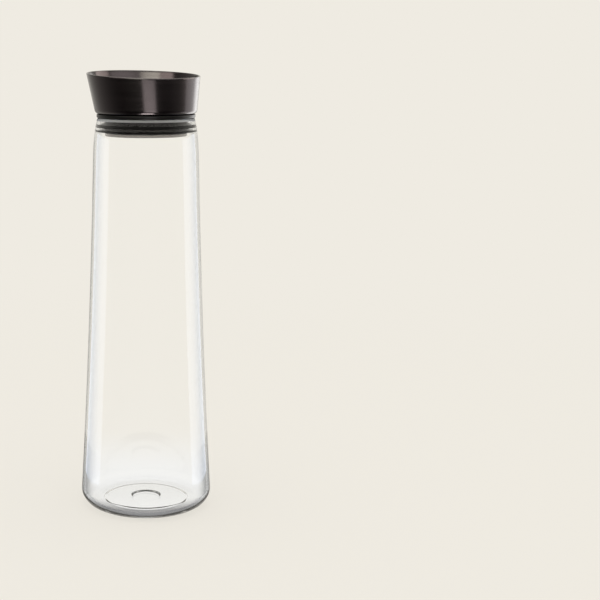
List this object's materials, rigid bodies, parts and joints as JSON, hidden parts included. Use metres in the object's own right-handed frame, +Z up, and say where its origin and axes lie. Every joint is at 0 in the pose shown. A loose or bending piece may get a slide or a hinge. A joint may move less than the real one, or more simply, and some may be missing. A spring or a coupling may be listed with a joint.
{
  "type": "glass carafe",
  "caption": "Tall tapered clear glass carafe with a slanted dark steel pouring collar, a silicone seal in its neck and a self-closing flap in the throat.",
  "frame": {"origin": "centre of the ring that the carafe stands on, at table height", "axes": "+Z up along the axis of the glass, +X towards the high side of the collar that pours, +Y along the flap's hinge pin"},
  "size_m": [0.09, 0.09, 0.2992],
  "materials": {
    "clear_glass": "blown clear borosilicate glass, fire-polished, with a ground lip",
    "gunmetal_steel": "satin stainless steel with a dark gunmetal vapour coating",
    "bright_steel": "turned bare stainless steel",
    "black_silicone": "smooth moulded food-grade silicone with a soft gloss",
    "black_plastic": "fine-grained moulded polypropylene"
  },
  "bodies": {
    "glass": {"glass_body": "clear_glass"},
    "closure": {"pour_collar": "gunmetal_steel", "throat_sleeve": "bright_steel", "seal_gasket": "black_silicone", "retaining_ring": "bright_steel", "flap_seat": "black_silicone", "hinge_pin": "bright_steel"},
    "flap": {"flap_carrier": "black_plastic", "flap_washer": "black_silicone", "flap_plate": "gunmetal_steel", "counterweight_rod": "bright_steel", "flap_rivet_front": "bright_steel", "flap_rivet_rear": "bright_steel"}
  },
  "joints": [
    {"name": "closure_lift", "type": "slide", "parent": "glass", "child": "closure", "axis": [0, 0, 1], "range_m": [0, 0.08]},
    {"name": "flap_tilt", "type": "hinge", "parent": "closure", "child": "flap", "pos_m": [-0.002, 0, 0.2676], "axis": [0, -1, 0], "range_deg": [0, 70]}
  ]
}
